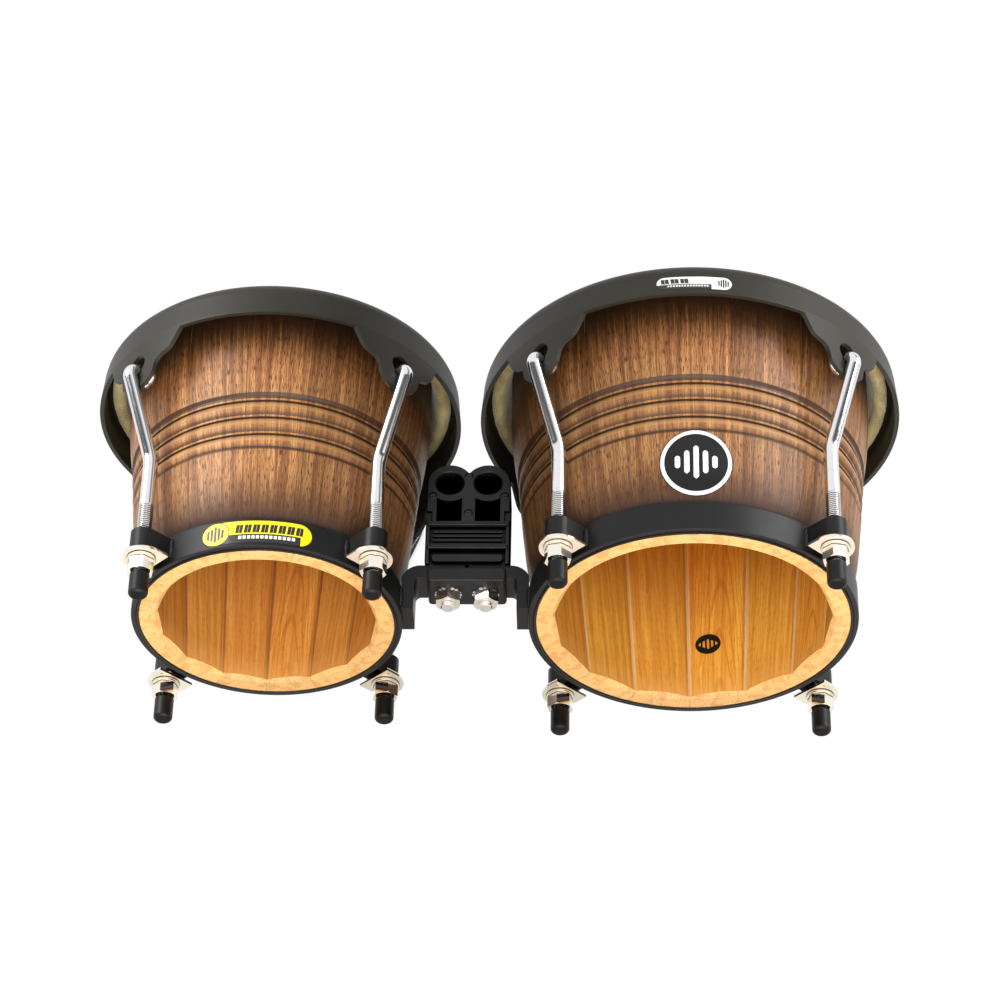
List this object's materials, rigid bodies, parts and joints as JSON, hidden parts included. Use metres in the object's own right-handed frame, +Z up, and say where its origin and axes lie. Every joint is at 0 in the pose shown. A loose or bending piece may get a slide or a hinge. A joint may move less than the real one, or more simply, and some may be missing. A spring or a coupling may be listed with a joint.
{
  "type": "bongo drums",
  "caption": "Pair of coopered wooden bongo drums on a centre block, with hook rods and nuts that tension the hide heads.",
  "frame": {"origin": "bottom centre of the whole object, on the plane the rubber rod caps stand on", "axes": "+Z up through the drum heads, +X from the small drum to the large drum, -Y towards the badge side"},
  "size_m": [0.458, 0.2392, 0.1905],
  "materials": {
    "shell_wood": "satin lacquer, darker towards both ends",
    "black_steel": "satin black powder coat",
    "bright_steel": "bright plated",
    "hoop_steel": "plain wire",
    "black_rubber": "soft sheen",
    "hide": "raw hide",
    "black_plastic": "fine moulded texture",
    "black_screws": "black",
    "badge_metal": "stamped",
    "yellow_label": "printed film",
    "white_label": "printed film"
  },
  "bodies": {
    "frame": {"small_shell_staves": "shell_wood", "small_ring_band": "black_steel", "small_ring_liner": "black_rubber", "small_lug_straps": "black_steel", "small_saddle_plates": "bright_steel", "small_washers": "bright_steel", "small_head_skin": "hide", "small_drum_bracket": "black_steel", "large_shell_staves": "shell_wood", "large_ring_band": "black_steel", "large_ring_liner": "black_rubber", "large_lug_straps": "black_steel", "large_saddle_plates": "bright_steel", "large_washers": "bright_steel", "large_head_skin": "hide", "large_drum_bracket": "black_steel", "clamp_bar": "black_steel", "block_core": "black_plastic", "block_front_cover": "black_plastic", "block_back_cover": "black_plastic", "cover_screws": "black_screws", "block_bolts": "bright_steel", "toothed_washers": "bright_steel", "block_nuts": "bright_steel", "shell_badge": "badge_metal", "ring_label": "yellow_label"},
    "small_tuning": {"small_rim": "black_steel", "small_tuning_rods": "bright_steel", "small_rod_caps": "black_rubber", "small_flesh_hoop": "hoop_steel", "small_skin_tuck": "hide"},
    "small_nut_front_left": {"small_nut_front_left": "bright_steel"},
    "small_nut_front_right": {"small_nut_front_right": "bright_steel"},
    "small_nut_back_right": {"small_nut_back_right": "bright_steel"},
    "small_nut_back_left": {"small_nut_back_left": "bright_steel"},
    "large_tuning": {"large_rim": "black_steel", "large_tuning_rods": "bright_steel", "large_rod_caps": "black_rubber", "large_flesh_hoop": "hoop_steel", "large_skin_tuck": "hide", "rim_label": "white_label"},
    "large_nut_front_left": {"large_nut_front_left": "bright_steel"},
    "large_nut_front_right": {"large_nut_front_right": "bright_steel"},
    "large_nut_back_right": {"large_nut_back_right": "bright_steel"},
    "large_nut_back_left": {"large_nut_back_left": "bright_steel"}
  },
  "joints": [
    {"name": "small_head_tuning", "type": "slide", "parent": "frame", "child": "small_tuning", "axis": [0, 0, 1], "range_m": [-0.004, 0.001]},
    {"name": "small_nut_front_left_turn", "type": "hinge", "parent": "frame", "child": "small_nut_front_left", "pos_m": [-0.18767, -0.06237, 0.0185], "axis": [0, 0, 1], "range_deg": [-300, 1170]},
    {"name": "small_nut_front_right_turn", "type": "hinge", "parent": "frame", "child": "small_nut_front_right", "pos_m": [-0.06293, -0.06237, 0.0185], "axis": [0, 0, 1], "range_deg": [-300, 1170]},
    {"name": "small_nut_back_right_turn", "type": "hinge", "parent": "frame", "child": "small_nut_back_right", "pos_m": [-0.06293, 0.06237, 0.0185], "axis": [0, 0, 1], "range_deg": [-300, 1170]},
    {"name": "small_nut_back_left_turn", "type": "hinge", "parent": "frame", "child": "small_nut_back_left", "pos_m": [-0.18767, 0.06237, 0.0185], "axis": [0, 0, 1], "range_deg": [-300, 1170]},
    {"name": "large_head_tuning", "type": "slide", "parent": "frame", "child": "large_tuning", "axis": [0, 0, 1], "range_m": [-0.004, 0.001]},
    {"name": "large_nut_front_left_turn", "type": "hinge", "parent": "frame", "child": "large_nut_front_left", "pos_m": [0.03581, -0.07359, 0.0185], "axis": [0, 0, 1], "range_deg": [-300, 1170]},
    {"name": "large_nut_front_right_turn", "type": "hinge", "parent": "frame", "child": "large_nut_front_right", "pos_m": [0.18299, -0.07359, 0.0185], "axis": [0, 0, 1], "range_deg": [-300, 1170]},
    {"name": "large_nut_back_right_turn", "type": "hinge", "parent": "frame", "child": "large_nut_back_right", "pos_m": [0.18299, 0.07359, 0.0185], "axis": [0, 0, 1], "range_deg": [-300, 1170]},
    {"name": "large_nut_back_left_turn", "type": "hinge", "parent": "frame", "child": "large_nut_back_left", "pos_m": [0.03581, 0.07359, 0.0185], "axis": [0, 0, 1], "range_deg": [-300, 1170]}
  ],
  "couplings": [
    {"joint": "small_nut_front_left_turn", "follows": "small_head_tuning", "rad_per_m": -5026.5},
    {"joint": "small_nut_front_right_turn", "follows": "small_head_tuning", "rad_per_m": -5026.5},
    {"joint": "small_nut_back_right_turn", "follows": "small_head_tuning", "rad_per_m": -5026.5},
    {"joint": "small_nut_back_left_turn", "follows": "small_head_tuning", "rad_per_m": -5026.5},
    {"joint": "large_nut_front_left_turn", "follows": "large_head_tuning", "rad_per_m": -5026.5},
    {"joint": "large_nut_front_right_turn", "follows": "large_head_tuning", "rad_per_m": -5026.5},
    {"joint": "large_nut_back_right_turn", "follows": "large_head_tuning", "rad_per_m": -5026.5},
    {"joint": "large_nut_back_left_turn", "follows": "large_head_tuning", "rad_per_m": -5026.5}
  ]
}
